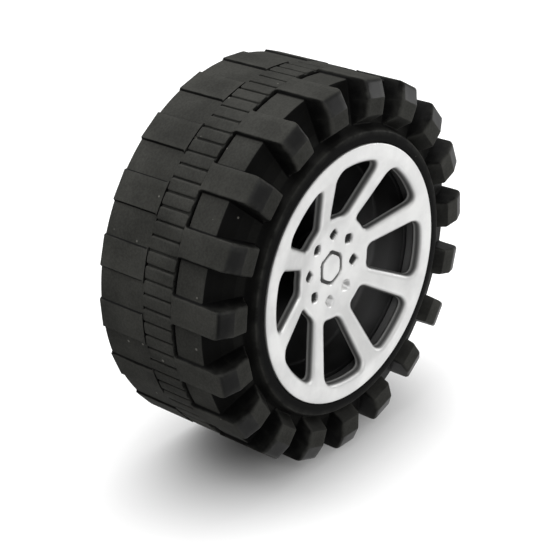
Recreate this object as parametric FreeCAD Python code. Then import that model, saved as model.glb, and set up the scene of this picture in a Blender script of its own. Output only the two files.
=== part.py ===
"""Small robot car wheel: lugged rubber tyre, black plastic core and a bright eight-spoke cap.

The origin is the wheel's centre. The wheel turns about Y, the bright face looks towards -Y,
the axle enters from +Y, and the wheel stands on one lug. All sizes are in millimetres.
"""
import FreeCAD
import Part
from FreeCAD import Vector
import math
import os

# Overall sizes
TREAD_RADIUS = 24.0
FACE_Y = -9.75
FIT_GAP = 0.05

# Tread: side lugs and far blocks with flat tops, staggered by half a step
LUG_COUNT = 19
LUG_WIDTH = 3.4
LUG_TOP_EDGE_Y = -9.1
LUG_SIDE_Y = -9.95
LUG_BEVEL_RADIUS = 21.85
LUG_FOOT_RADIUS = 19.75
LUG_TOP_ROUND = 0.8
LUG_END_ROUND = 0.4
LUG_EDGE_ROUND = 0.15
LUG_SINK = 1.0
BLOCK_WIDTH = 3.7
BLOCK_TOP = 23.95
ROOT_FLARE = 0.45

# Lug tops: level with the flared roots of the two blocks beside a lug, so that the wheel stands square
BLOCK_ROOT_ANGLE = math.asin((BLOCK_WIDTH / 2 + ROOT_FLARE) / TREAD_RADIUS)
LUG_TOP = TREAD_RADIUS * math.cos(math.pi / LUG_COUNT - BLOCK_ROOT_ANGLE)

# Tread: floors between the lugs, and the ladder of slit ribs along the middle with a groove beside it
FLOOR_RADIUS = 23.5
FLOOR_EDGE_Y = -6.5
FAR_FLOOR_RADIUS = 23.72
GROOVE_WIDTH = 0.25
GROOVE_DEPTH = 0.5
LADDER_RADIUS = 23.9
LADDER_HALF_WIDTH = 2.2
RIB_COUNT = 86
SLIT_WIDTH = 0.35
SLIT_FLARE = 0.4

# Tyre casing
FAR_SIDE_Y = 9.3
FAR_EDGE_ROUND = 0.2
FAR_VALLEY_DEPTH = 1.0
FAR_VALLEY_WIDTH = 1.2
CAVITY_RADIUS = 20.6
CAVITY_NEAR_Y = -5.2
CAVITY_FAR_Y = 6.9
VALLEY_RADIUS = 18.4
VALLEY_Y = -8.0
VALLEY_ROUND = 0.3
BEAD_RIDGE_RADIUS = 17.8
BEAD_NECK_RADIUS = 16.9
BEAD_RIDGE_Y = -9.6
BEAD_BACK_Y = 9.2
BEAD_ROUND = 0.2
BEAD_FOOT_Y = 4.2

# Plastic core
BARREL_RADIUS = 14.7
BARREL_BORE = 13.8
FLANGE_RADIUS = 16.25
FLANGE_INNER_Y = 6.2
CORE_FRONT_Y = -8.55
CORE_BACK_Y = 8.4
CORE_EDGE_ROUND = 0.3
CORE_ROOT_ROUND = 0.5
SEAT_RADIUS = 15.05
SEAT_FLOOR_Y = -7.2
WEB_FRONT_Y = -2.6
WEB_BACK_Y = -1.0
BOSS_RADIUS = 3.4
BOSS_BACK_Y = 9.0
AXLE_RADIUS = 0.975
AXLE_END_Y = -2.0
AXLE_LEAD_IN = 0.15
RIB_PLATES = 6
RIB_PLATE_WIDTH = 1.2
RIB_PLATE_BOSS_Y = 6.1
RIB_PLATE_BARREL_Y = 4.6

# Spoke cap
CAP_RADIUS = 16.3
CAP_WALL = 1.2
CAP_RIM_ROUND = 0.15
HUB_FLAT_RADIUS = 4.9
HUB_FACE_Y = -6.35
HUB_BLEND = 1.5
DISH_EDGE_RADIUS = 14.4
DISH_BLEND = 0.8
SPOKE_COUNT = 8
SPOKE_TURN = 4.3
SPOKE_HALF_IN = 1.27
SPOKE_HALF_OUT = 1.6
WINDOW_IN = 6.75
WINDOW_OUT = 13.95
WINDOW_ROUND_IN = 1.0
WINDOW_ROUND_OUT = 0.9
WINDOW_EDGE_ROUND = 0.7
SKIRT_RADIUS = 14.2
SKIRT_END_Y = -7.3
PEG_RADIUS = 1.5
PEG_END_Y = -3.1
PEG_ROUND = 0.3
NUT_CIRCLE = 4.35
NUT_SIDE = 1.25
NUT_FLOOR_SIDE = 0.5
NUT_DEPTH = 0.7
HEX_RADIUS = 1.75
HEX_GROOVE = 0.3
HEX_DEPTH = 0.4

AXIS_POINT = Vector(0, 0, 0)
AXIS = Vector(0, 1, 0)
SHORTEST_EDGE = 1e-6
FRONT_LEAN = -0.5
WALL_LEAN = 0.01


def rounded_wire(corners, to_point):
    """Closed wire through (a, b, round) corners, each rounded by a tangent arc where round is not 0."""
    count = len(corners)
    spans = []
    for i in range(count):
        before, here, after = (Vector(*corners[(i + step) % count][:2], 0) for step in (-1, 0, 1))
        radius = corners[i][2]
        if not radius:
            spans.append((here, here, here, 0))
            continue
        back = (before - here).normalize()
        ahead = (after - here).normalize()
        half = back.getAngle(ahead) / 2
        reach = radius / math.tan(half)
        middle = here + (back + ahead).normalize() * (radius / math.sin(half) - radius)
        spans.append((here + back * reach, middle, here + ahead * reach, radius))
    edges = []
    for i, (start, middle, end, radius) in enumerate(spans):
        if radius:
            edges.append(Part.Arc(to_point(start), to_point(middle), to_point(end)).toShape())
        following = spans[(i + 1) % count][0]
        if (following - end).Length > SHORTEST_EDGE:
            edges.append(Part.LineSegment(to_point(end), to_point(following)).toShape())
    return Part.Wire(edges)


def in_section(point):
    """Place a (radius, y) point in the half plane above the axle."""
    return Vector(0, point.y, point.x)


def in_plan(point):
    """Place an (x, y) point in the level plane through the axle."""
    return Vector(point.x, point.y, 0)


def turned(corners):
    """Solid of revolution about the axle from (radius, y, round) corners."""
    return Part.Face(rounded_wire(corners, in_section)).revolve(AXIS_POINT, AXIS, 360)


def bar(corners, width):
    """Straight bar of a (radius, y, round) section, centred on the upright plane through the axle."""
    face = Part.Face(rounded_wire(corners, in_section))
    face.translate(Vector(-width / 2, 0, 0))
    return face.extrude(Vector(width, 0, 0))


def slab(side, low, high):
    """Upright slab between two heights over a plan that is the same on both sides of x = 0.

    The side lists the plan's (x, y, round) corners on the positive side only.
    """
    other = [(-x, y, rounding) for x, y, rounding in reversed(side)]
    face = Part.Face(rounded_wire(side + other, in_plan))
    face.translate(Vector(0, 0, low))
    return face.extrude(Vector(0, 0, high - low))


def spun(shape, degrees):
    """Copy of a shape turned about the axle."""
    copy = shape.copy()
    copy.rotate(AXIS_POINT, AXIS, degrees)
    return copy


def around(shape, count, start=0.0):
    """Equal copies of a shape round the axle."""
    return [spun(shape, start + i * 360 / count) for i in range(count)]


def drum(radius, low, high):
    """Plain disc or rod about the axle between two y values."""
    return Part.makeCylinder(radius, high - low, Vector(0, low, 0), AXIS)


def make_casing():
    """Rubber casing: tread floors, ladder band, its groove, sidewalls, bead rings and air space."""
    seat = FLANGE_RADIUS + 2 * FIT_GAP
    foot = BARREL_RADIUS + FIT_GAP
    step = FLANGE_INNER_Y - FIT_GAP
    return turned([
        (FLOOR_RADIUS, FLOOR_EDGE_Y, LUG_EDGE_ROUND),
        (VALLEY_RADIUS, VALLEY_Y, VALLEY_ROUND),
        (BEAD_RIDGE_RADIUS, BEAD_RIDGE_Y, BEAD_ROUND),
        (seat, BEAD_RIDGE_Y, BEAD_ROUND),
        (seat, -step, 0),
        (foot, -step, 0),
        (foot, -BEAD_FOOT_Y, 0),
        (BEAD_NECK_RADIUS, -BEAD_FOOT_Y, 0),
        (VALLEY_RADIUS, CAVITY_NEAR_Y, 0),
        (CAVITY_RADIUS, CAVITY_NEAR_Y, 0),
        (CAVITY_RADIUS, CAVITY_FAR_Y, 0),
        (VALLEY_RADIUS, CAVITY_FAR_Y, 0),
        (BEAD_NECK_RADIUS, BEAD_FOOT_Y, 0),
        (foot, BEAD_FOOT_Y, 0),
        (foot, step, 0),
        (seat, step, 0),
        (seat, BEAD_BACK_Y, BEAD_ROUND),
        (BEAD_RIDGE_RADIUS, BEAD_BACK_Y, BEAD_ROUND),
        (VALLEY_RADIUS, FAR_SIDE_Y - FAR_VALLEY_DEPTH, VALLEY_ROUND),
        (VALLEY_RADIUS + FAR_VALLEY_WIDTH, FAR_SIDE_Y, VALLEY_ROUND),
        (FAR_FLOOR_RADIUS, FAR_SIDE_Y, FAR_EDGE_ROUND),
        (FAR_FLOOR_RADIUS, LADDER_HALF_WIDTH, 0),
        (LADDER_RADIUS, LADDER_HALF_WIDTH, 0),
        (LADDER_RADIUS, -LADDER_HALF_WIDTH, 0),
        (FLOOR_RADIUS - GROOVE_DEPTH, -LADDER_HALF_WIDTH, 0),
        (FLOOR_RADIUS - GROOVE_DEPTH, -LADDER_HALF_WIDTH - GROOVE_WIDTH, 0),
        (FLOOR_RADIUS, -LADDER_HALF_WIDTH - GROOVE_WIDTH, 0),
    ])


def make_pad(section, width, ladder_y, outer_y, end_round):
    """Tread pad: a bar of the given section, flared at the ladder and rounded at its outer corners."""
    half = width / 2
    plan = [(half, outer_y, end_round), (half, ladder_y, ROOT_FLARE), (half + ROOT_FLARE, ladder_y, 0)]
    pad = bar(section, width + 2 * ROOT_FLARE).common(slab(plan, 0, TREAD_RADIUS))
    return pad.common(drum(TREAD_RADIUS, 2 * LUG_SIDE_Y, 2 * FAR_SIDE_Y))


def make_tyre():
    """Tyre: casing with side lugs, staggered far blocks and the slit ladder along the middle."""
    sunk = FLOOR_RADIUS - LUG_SINK
    lug = make_pad([
        (LUG_TOP, -LADDER_HALF_WIDTH, 0),
        (LUG_TOP, LUG_TOP_EDGE_Y, LUG_TOP_ROUND),
        (LUG_BEVEL_RADIUS, LUG_SIDE_Y, LUG_EDGE_ROUND),
        (LUG_FOOT_RADIUS, LUG_SIDE_Y, LUG_EDGE_ROUND),
        (VALLEY_RADIUS, VALLEY_Y, 0),
        (VALLEY_RADIUS + LUG_SINK, VALLEY_Y + LUG_SINK, 0),
        (sunk, FLOOR_EDGE_Y + LUG_SINK, 0),
        (sunk, -LADDER_HALF_WIDTH, 0),
    ], LUG_WIDTH, -LADDER_HALF_WIDTH, LUG_SIDE_Y, LUG_END_ROUND)
    block = make_pad([
        (BLOCK_TOP, LADDER_HALF_WIDTH, 0),
        (BLOCK_TOP, FAR_SIDE_Y, FAR_EDGE_ROUND),
        (sunk, FAR_SIDE_Y, 0),
        (sunk, LADDER_HALF_WIDTH, 0),
    ], BLOCK_WIDTH, LADDER_HALF_WIDTH, 2 * FAR_SIDE_Y, 0)
    lugs = around(lug, LUG_COUNT, 180)
    blocks = around(block, LUG_COUNT, 180 + 180 / LUG_COUNT)
    half_slit = SLIT_WIDTH / 2
    slit = slab([
        (half_slit + SLIT_FLARE, -LADDER_HALF_WIDTH, 0),
        (half_slit, -LADDER_HALF_WIDTH, SLIT_FLARE),
        (half_slit, LADDER_HALF_WIDTH, SLIT_FLARE),
        (half_slit + SLIT_FLARE, LADDER_HALF_WIDTH, 0),
    ], FLOOR_RADIUS, TREAD_RADIUS)
    slits = Part.Compound(around(slit, RIB_COUNT))
    return make_casing().cut(slits).fuse(lugs + blocks).removeSplitter()


def make_core():
    """Core: flanged barrel and web in one turning, six rear ribs, axle bore and cap socket."""
    socket = PEG_RADIUS + FIT_GAP
    socket_floor = PEG_END_Y + FIT_GAP
    boss_front = HUB_FACE_Y + CAP_WALL
    core = turned([
        (FLANGE_RADIUS, CORE_FRONT_Y, 0),
        (FLANGE_RADIUS, -FLANGE_INNER_Y, 0),
        (BARREL_RADIUS, -FLANGE_INNER_Y, 0),
        (BARREL_RADIUS, FLANGE_INNER_Y, 0),
        (FLANGE_RADIUS, FLANGE_INNER_Y, 0),
        (FLANGE_RADIUS, CORE_BACK_Y, CORE_EDGE_ROUND),
        (BARREL_BORE, CORE_BACK_Y, CORE_EDGE_ROUND),
        (BARREL_BORE, WEB_BACK_Y, CORE_ROOT_ROUND),
        (BOSS_RADIUS, WEB_BACK_Y, CORE_ROOT_ROUND),
        (BOSS_RADIUS, BOSS_BACK_Y, CORE_EDGE_ROUND),
        (AXLE_RADIUS, BOSS_BACK_Y, AXLE_LEAD_IN),
        (AXLE_RADIUS, AXLE_END_Y, 0),
        (0, AXLE_END_Y, 0),
        (0, socket_floor, 0),
        (socket, socket_floor, 0),
        (socket, boss_front, 0),
        (BOSS_RADIUS, boss_front, 0),
        (BOSS_RADIUS, WEB_FRONT_Y, CORE_ROOT_ROUND),
        (BARREL_BORE, WEB_FRONT_Y, CORE_ROOT_ROUND),
        (BARREL_BORE, SEAT_FLOOR_Y, 0),
        (SEAT_RADIUS, SEAT_FLOOR_Y, 0),
        (SEAT_RADIUS, CORE_FRONT_Y, 0),
    ])
    inside_boss = (BOSS_RADIUS + AXLE_RADIUS) / 2
    inside_barrel = (BARREL_RADIUS + BARREL_BORE) / 2
    inside_web = (WEB_FRONT_Y + WEB_BACK_Y) / 2
    plate = bar([
        (inside_boss, inside_web, 0),
        (inside_boss, RIB_PLATE_BOSS_Y, 0),
        (inside_barrel, RIB_PLATE_BARREL_Y, 0),
        (inside_barrel, inside_web, 0),
    ], RIB_PLATE_WIDTH)
    return core.fuse(around(plate, RIB_PLATES)).removeSplitter()


def upright_edges(shape, low, high):
    """Edges that run along y and lie between two distances above the axle."""
    edges = [edge for edge in shape.Edges if edge.BoundBox.XLength + edge.BoundBox.ZLength < SHORTEST_EDGE]
    return [edge for edge in edges if low < edge.CenterOfMass.z < high]


def make_window():
    """Cutter for one window: a rounded wedge between two spokes, centred straight up."""
    half_gap = math.pi / SPOKE_COUNT
    sides = []
    for radius, spoke_half in ((WINDOW_IN, SPOKE_HALF_IN), (WINDOW_OUT, SPOKE_HALF_OUT)):
        angle = half_gap - math.asin(spoke_half / radius)
        sides.append(Vector(radius * math.sin(angle), 2 * FACE_Y, radius * math.cos(angle)))
    near, far = sides
    slope = (far - near) / (far.z - near.z)
    low, high = (near + slope * (z - near.z) for z in (WINDOW_IN, CAP_RADIUS))
    corners = [low, high, Vector(-high.x, high.y, high.z), Vector(-low.x, low.y, low.z), low]
    wedge = Part.Face(Part.makePolygon(corners)).extrude(Vector(0, -2 * FACE_Y, 0))
    wedge = wedge.common(drum(WINDOW_OUT, 2 * FACE_Y, 0))
    middle = (WINDOW_IN + WINDOW_OUT) / 2
    wedge = wedge.makeFillet(WINDOW_ROUND_OUT, upright_edges(wedge, middle, WINDOW_OUT))
    return wedge.makeFillet(WINDOW_ROUND_IN, upright_edges(wedge, 0, WINDOW_IN + SHORTEST_EDGE))


def lean(face, point):
    """How a face looks along y at a point: -1 is straight to the front, 0 is a wall and 1 is the back."""
    return face.normalAt(*face.Surface.parameter(point)).y


def front_edges(shape):
    """Edges where a wall that runs along y meets the front."""
    edges = []
    for edge in shape.Edges:
        middle = edge.valueAt((edge.FirstParameter + edge.LastParameter) / 2)
        leans = sorted(lean(face, middle) for face in shape.ancestorsOfType(edge, Part.Face))
        if len(leans) == 2 and leans[0] < FRONT_LEAN and abs(leans[1]) < WALL_LEAN:
            edges.append(edge)
    return edges


def make_hexagon(radius):
    """Six-sided cutter sunk from the hub's face, with one corner straight up."""
    corners = [spun(Part.Vertex(0, HUB_FACE_Y, radius), 60 * i).Point for i in range(7)]
    return Part.Face(Part.makePolygon(corners)).extrude(Vector(0, HEX_DEPTH, 0))


def make_nut_recess():
    """Four-sided tapered recess that stands on a corner, above the hub's middle."""
    top = NUT_SIDE / 2
    floor = NUT_FLOOR_SIDE / 2
    deep = HUB_FACE_Y + NUT_DEPTH
    recess = Part.makeWedge(-top, HUB_FACE_Y, -top, -floor, -floor, top, deep, top, floor, floor)
    recess.rotate(AXIS_POINT, AXIS, 45)
    recess.translate(Vector(0, 0, NUT_CIRCLE))
    return recess


def make_cap():
    """Bright cap: dished face with windows, hub recesses, rim skirt and centre peg."""
    back_rim = FACE_Y + CAP_WALL
    back_hub = HUB_FACE_Y + CAP_WALL
    skirt = SEAT_RADIUS - FIT_GAP
    cap = turned([
        (CAP_RADIUS, FACE_Y, CAP_RIM_ROUND),
        (CAP_RADIUS, back_rim, 0),
        (skirt, back_rim, 0),
        (skirt, SKIRT_END_Y, 0),
        (SKIRT_RADIUS, SKIRT_END_Y, 0),
        (SKIRT_RADIUS, back_rim, 0),
        (HUB_FLAT_RADIUS, back_hub, 0),
        (PEG_RADIUS, back_hub, 0),
        (PEG_RADIUS, PEG_END_Y, PEG_ROUND),
        (0, PEG_END_Y, 0),
        (0, HUB_FACE_Y, 0),
        (HUB_FLAT_RADIUS, HUB_FACE_Y, HUB_BLEND),
        (DISH_EDGE_RADIUS, FACE_Y, DISH_BLEND),
    ])
    windows = around(make_window(), SPOKE_COUNT, SPOKE_TURN)
    nuts = around(make_nut_recess(), SPOKE_COUNT, SPOKE_TURN)
    groove = make_hexagon(HEX_RADIUS + HEX_GROOVE).cut(make_hexagon(HEX_RADIUS))
    cap = cap.cut(windows)
    cap = cap.makeFillet(WINDOW_EDGE_ROUND, front_edges(cap))
    return cap.cut(nuts + [groove]).removeSplitter()


def main():
    """Write each piece of the wheel as its own file."""
    os.makedirs("parts", exist_ok=True)
    make_tyre().exportStep("parts/tyre.step")
    make_core().exportStep("parts/wheel_core.step")
    make_cap().exportStep("parts/spoke_cap.step")


if __name__ == "__main__":
    main()
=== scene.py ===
"""Looks of a small robot car wheel: lugged rubber tyre, black plastic core and a bright spoke cap.

The wheel turns about Y, its bright face looks along -Y and it stands on one lug. Angles round the axle
start straight up and grow towards +X. The classes hold millimetres, and the meshes are written in metres.
"""
import logging
import math
from collections.abc import Callable, Sequence
from dataclasses import dataclass, field
from enum import Enum
from typing import Any

import bmesh
import bpy
import numpy as np
from mathutils import Matrix, Vector


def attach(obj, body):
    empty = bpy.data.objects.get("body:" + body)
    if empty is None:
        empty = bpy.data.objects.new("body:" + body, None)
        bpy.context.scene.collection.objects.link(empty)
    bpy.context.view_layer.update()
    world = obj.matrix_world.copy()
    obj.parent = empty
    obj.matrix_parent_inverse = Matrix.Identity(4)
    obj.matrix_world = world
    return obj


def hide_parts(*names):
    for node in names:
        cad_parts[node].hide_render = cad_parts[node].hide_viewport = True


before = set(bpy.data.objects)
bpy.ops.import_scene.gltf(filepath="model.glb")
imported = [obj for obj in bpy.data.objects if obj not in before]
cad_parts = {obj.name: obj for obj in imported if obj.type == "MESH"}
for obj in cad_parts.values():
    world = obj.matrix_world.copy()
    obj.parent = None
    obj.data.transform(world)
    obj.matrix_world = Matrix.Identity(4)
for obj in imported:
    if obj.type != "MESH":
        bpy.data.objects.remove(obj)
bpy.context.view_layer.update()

Array = np.ndarray
Colour = Corner = Place = tuple[float, float, float]
Corners = Sequence[Corner]
Floats = Sequence[float]
Pair = tuple[float, float]
Material = bpy.types.Material
Piece = bpy.types.Object
Socket = bpy.types.NodeSocket
Tree = bpy.types.NodeTree
LOG = logging.getLogger("wheel")
MILLIMETRE = 0.001
WEAR = "wear"
TONE = "tone"
GLOSS = "gloss"
WHITE = (1.0, 1.0, 1.0)
GRAIN_DEPTH = 0.0001
HUMP = (0.15, 0.85)
TINY = 1e-6
LADDER_EDGE = 2.2
# Sector of painted light round the axle: the inside of the wheel is painted paler there, as if lit through
# the windows.
LIT_SECTOR_ANGLE = 118.0
LIT_SECTOR_SPREAD = 34.0


class Node(Enum):
    """CAD nodes that the dressed pieces stand for."""

    TYRE = "tyre"
    CORE = "wheel_core"
    CAP = "spoke_cap"


class Slot(Enum):
    """Finish slots of the record."""

    RUBBER = "tyre_rubber"
    PLASTIC = "core_plastic"
    PLATING = "cap_plating"


class Side(Enum):
    """The two sides of the wheel, valued by the sign of y."""

    FACE = -1
    BACK = 1


# Surfaces


@dataclass(frozen=True)
class Rounding:
    """How finely a rounded line is divided: steps on each corner's curve and points on each straight run."""

    arc: int
    run: int

    def shares(self) -> Array:
        """Even shares of the way along a run, in one row."""
        return np.arange(1, self.run + 1)[None, :] / (self.run + 1)

    def path(self, corners: Corners, closed: bool = True, sharp: bool = False) -> Array:
        """Carry a line through corners and turn each of them on a short curve.

        A corner is (a, b, reach). Its curve leaves the line one reach before the corner and joins it one
        reach after: (1 - t)^2 start + 2 t (1 - t) corner + t^2 end. A sharp corner takes the same number of
        points along its two straight legs instead. Evenly spaced points divide the straight run to the next
        corner.

        Args:
            corners: Rows of (a, b, reach).
            closed: Whether the last corner runs on to the first.
            sharp: Whether the corners keep their points.

        Returns:
            Rows of (a, b), the same number for each corner.
        """
        rows = np.array(corners, dtype=float)
        corner, reach = rows[:, None, :2], rows[:, None, 2:]
        back = np.roll(corner, 1, axis=0) - corner
        ahead = np.roll(corner, -1, axis=0) - corner
        start = corner + back / np.linalg.norm(back, axis=2, keepdims=True) * reach
        end = corner + ahead / np.linalg.norm(ahead, axis=2, keepdims=True) * reach
        t = np.linspace(0, 1, self.arc + 1)[None, :, None]
        if sharp:
            first, second = np.clip(1 - 2 * t, 0, 1), np.clip(2 * t - 1, 0, 1)
            arc = corner + (start - corner) * first + (end - corner) * second
        else:
            arc = (1 - t) ** 2 * start + 2 * t * (1 - t) * corner + t ** 2 * end
        run = end + (np.roll(start, -1, axis=0) - end) * self.shares()[:, :, None]
        path = np.concatenate([arc, run], axis=1).reshape(-1, 2)
        return path if closed or not self.run else path[:-self.run]

    def joined(self, arc: Array, run: Array | float) -> Array:
        """Put the values of each curve and of the run after it one after another, for a closed path."""
        return np.concatenate([arc, np.broadcast_to(run, (len(arc), self.run))], axis=1).reshape(-1)

    def per_corner(self, values: Floats) -> Array:
        """Value of each corner over its curve, as the middle part of a sine's hump, with 0 on the runs."""
        hump = np.sin(np.linspace(*HUMP, self.arc + 1) * math.pi)
        return self.joined(np.outer(values, hump), 0)

    def per_row(self, values: Floats) -> Array:
        """Value of each corner over its curve, going evenly along a run to the next corner's value."""
        here, k = np.array(values, dtype=float)[:, None], self.shares()
        return self.joined(np.tile(here, self.arc + 1), here * (1 - k) + np.roll(here, -1, axis=0) * k)

    def per_face(self, values: Floats, crisp: bool = False) -> Array:
        """Value of the run after each corner, reached along the corner's curve.

        Args:
            values: One value for each run.
            crisp: Whether the value changes in the middle of the curve, and not evenly along it.

        Returns:
            One value for each row of the path.
        """
        here = np.array(values, dtype=float)[:, None]
        t = np.linspace(0, 1, self.arc + 1)[None, :]
        t = (t > 0.5).astype(float) if crisp else t
        return self.joined(np.roll(here, 1, axis=0) * (1 - t) + here * t, here)


def on_circle(radius: Array, y: Array, radians: Array) -> Array:
    """Places round the axle: (r sin t, y, r cos t)."""
    return np.stack([radius * np.sin(radians), y + 0 * radians, radius * np.cos(radians)], axis=-1)


def revolve(profile: Array, degrees: Array) -> Array:
    """Carry a (radius, y) profile round the axle, as profile rows by angle columns."""
    return on_circle(profile[:, :1], profile[:, 1:], np.radians(degrees)[None, :])


def turn(points: Array, degrees: Floats) -> Array:
    """Copy points round the axle, once for each angle: x' = x cos t + z sin t, z' = z cos t - x sin t.

    Args:
        points: An array whose last axis is (x, y, z).
        degrees: The angles.

    Returns:
        The copies, with a new first axis that counts the angles.
    """
    t = np.radians(np.asarray(degrees, dtype=float)).reshape((-1,) + (1,) * (points.ndim - 1))
    x, y, z = np.moveaxis(points, -1, 0)
    return np.stack([x * np.cos(t) + z * np.sin(t), y + 0 * t, z * np.cos(t) - x * np.sin(t)], axis=-1)


def even_angles(count: int, first: float = 0.0) -> Array:
    """Angles that divide the circle evenly, in degrees."""
    return first + np.arange(count) * 360 / count


def flared(half: float, flare: Array | float, clear: Array) -> Array:
    """Half width that grows by a quarter circle of the flare's radius as the clear distance falls to 0."""
    return half + flare - np.sqrt(flare ** 2 - (flare - clear) ** 2)


def lit_sector(degrees: Array) -> Array:
    """Painted light round the axle, strongest in one sector and fading away from it: exp(-((t - angle) /
    spread)^2).
    """
    return np.exp(-((degrees - LIT_SECTOR_ANGLE) / LIT_SECTOR_SPREAD) ** 2)


@dataclass
class Shell:
    """Collects grids of points and joins them into one closed mesh."""

    name: str
    points: list[Array] = field(default_factory=list)
    faces: list[Array] = field(default_factory=list)
    masks: dict[str, list[Array]] = field(default_factory=lambda: {WEAR: [], TONE: [], GLOSS: []})
    count: int = 0

    def add(self, grid: Array, wrap_rows: bool = False, wrap_columns: bool = False,
            **masks: Array | float) -> None:
        """Add a grid of quads: each face joins a point, the next in its row, and the two after them.

        Args:
            grid: Points, rows by columns.
            wrap_rows: Whether the last row joins the first.
            wrap_columns: Whether the last column joins the first.
            masks: Values from 0 to 1 over the points. Wear is how rubbed rubber or plastic is and how thin
            plating is. Tone on rubber keeps the pale worn grey where it is high and paints shade where it is
            low, on plastic it paints light, and on plating it paints shade and takes the metal away. Gloss is
            how much rubber shines.
        """
        rows, columns = grid.shape[:2]
        index = self.count + np.arange(rows * columns).reshape(rows, columns)
        index = np.concatenate([index, index[:1]]) if wrap_rows else index
        index = np.concatenate([index, index[:, :1]], axis=1) if wrap_columns else index
        quads = np.stack([index[:-1, :-1], index[:-1, 1:], index[1:, 1:], index[1:, :-1]], axis=-1)
        self.points.append(grid.reshape(-1, 3))
        self.faces.append(quads.reshape(-1, 4))
        for name, values in self.masks.items():
            values.append(np.broadcast_to(masks.get(name, 0.0), (rows, columns)).ravel())
        self.count += rows * columns

    def build(self, merge: float = 0.0005) -> Piece:
        """Make the mesh object, merge its seams and poles, and point its faces outwards.

        Args:
            merge: Points nearer than this, in millimetres, become one.

        Returns:
            The object, at the origin.
        """
        mesh = bpy.data.meshes.new(self.name)
        points = np.concatenate(self.points) * MILLIMETRE
        mesh.from_pydata(points.tolist(), [], np.concatenate(self.faces).tolist())
        for name, values in self.masks.items():
            layer = mesh.attributes.new(name, "FLOAT", "POINT")
            layer.data.foreach_set("value", np.concatenate(values).astype(np.float32))
        net = bmesh.new()
        net.from_mesh(mesh)
        bmesh.ops.remove_doubles(net, verts=net.verts, dist=merge * MILLIMETRE)
        bmesh.ops.dissolve_degenerate(net, edges=net.edges, dist=merge * MILLIMETRE)
        bmesh.ops.recalc_face_normals(net, faces=net.faces)
        net.to_mesh(mesh)
        net.free()
        mesh.shade_smooth()
        piece = bpy.data.objects.new(self.name, mesh)
        bpy.context.scene.collection.objects.link(piece)
        normals = piece.modifiers.new("even_normals", "WEIGHTED_NORMAL")
        normals.keep_sharp = True
        return piece


# Shader groups and finishes


class Nodes:
    """Short calls for building a node tree. The numbers are those of a Mix node's colour sockets."""

    MIX_FACTOR, MIX_FIRST, MIX_SECOND, MIX_RESULT = 0, 6, 7, 2

    def __init__(self, tree: Tree) -> None:
        """Keep the tree that the calls build."""
        self.tree = tree

    @classmethod
    def emptied(cls, owner: Material | bpy.types.World) -> "Nodes":
        """Start the tree of a material or a world afresh.

        Args:
            owner: The material or the world.

        Returns:
            The builder of its empty tree.
        """
        owner.use_nodes = True
        owner.node_tree.nodes.clear()
        return cls(owner.node_tree)

    def put(self, socket: Socket, value: Any) -> None:
        """Link an output socket to an input, or set the input's own value.

        Args:
            socket: The input.
            value: An output socket, a number, a vector or a colour.
        """
        if isinstance(value, Socket):
            self.tree.links.new(value, socket)
        else:
            socket.default_value = (*value, 1.0) if socket.type == "RGBA" else value

    def fill(self, node: bpy.types.Node, **inputs: Any) -> None:
        """Set or link a node's inputs by name, with _ for a space."""
        for name, value in inputs.items():
            self.put(node.inputs[name.replace("_", " ")], value)

    def add(self, kind: str, settings: dict[str, Any] | None = None, at: dict[int, Any] | None = None,
            **inputs: Any) -> Any:
        """Add a node, set its properties, and set or link its inputs.

        Args:
            kind: The node's type name, without ShaderNode.
            settings: Properties of the node.
            at: Values or output sockets by the input's number.
            inputs: Values or output sockets by the input's name, with _ for a space.

        Returns:
            The node's outputs.
        """
        node = self.tree.nodes.new("ShaderNode" + kind)
        for name, value in (settings or {}).items():
            setattr(node, name, value)
        for number, value in (at or {}).items():
            self.put(node.inputs[number], value)
        self.fill(node, **inputs)
        return node.outputs

    def math(self, operation: str, first: Any, second: Any, clamp: bool = False) -> Socket:
        """Work out one sum of two values and give its output."""
        settings = {"operation": operation, "use_clamp": clamp}
        return self.add("Math", settings, {0: first, 1: second})[0]

    def ramp(self, value: Any, low: float, high: float) -> Socket:
        """Map a value smoothly from 0 at low to 1 at high."""
        settings = {"interpolation_type": "SMOOTHSTEP"}
        return self.add("MapRange", settings, Value=value, From_Min=low, From_Max=high)[0]

    def mix(self, factor: Any, first: Any, second: Any) -> Socket:
        """Mix two colours by a factor and give the output."""
        inputs = {self.MIX_FACTOR: factor, self.MIX_FIRST: first, self.MIX_SECOND: second}
        return self.add("Mix", {"data_type": "RGBA"}, inputs)[self.MIX_RESULT]

    def noise(self, place: Any, scale: Any, detail: float, roughness: float) -> Socket:
        """Noise value of the given scale at a place."""
        return self.add("TexNoise", Vector=place, Scale=scale, Detail=detail, Roughness=roughness)["Fac"]

    def place(self) -> Socket:
        """Place on the object, in its own coordinates."""
        return self.add("TexCoord")["Object"]

    def mask(self, name: str) -> Socket:
        """Value of one of the mesh's masks."""
        return self.add("Attribute", {"attribute_name": name})["Fac"]

    def effect(self, group: Tree, **values: float) -> Any:
        """Place a shared group with its own values and give its outputs."""
        return self.add("Group", {"node_tree": group}, **values)


def new_group(name: str, inputs: dict[str, float],
              outputs: list[str]) -> tuple[Tree, Nodes, Any, bpy.types.Node]:
    """Start a shader node group of values.

    Args:
        name: The group's name.
        inputs: Input names and their usual values.
        outputs: Output names.

    Returns:
        The group, its builder, its given values and its output node.
    """
    group = bpy.data.node_groups.new(name, "ShaderNodeTree")
    for label, value in inputs.items():
        socket = group.interface.new_socket(label, in_out="INPUT", socket_type="NodeSocketFloat")
        socket.default_value = value
    for label in outputs:
        group.interface.new_socket(label, in_out="OUTPUT", socket_type="NodeSocketFloat")
    nodes = Nodes(group)
    return group, nodes, group.nodes.new("NodeGroupInput").outputs, group.nodes.new("NodeGroupOutput")


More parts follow.
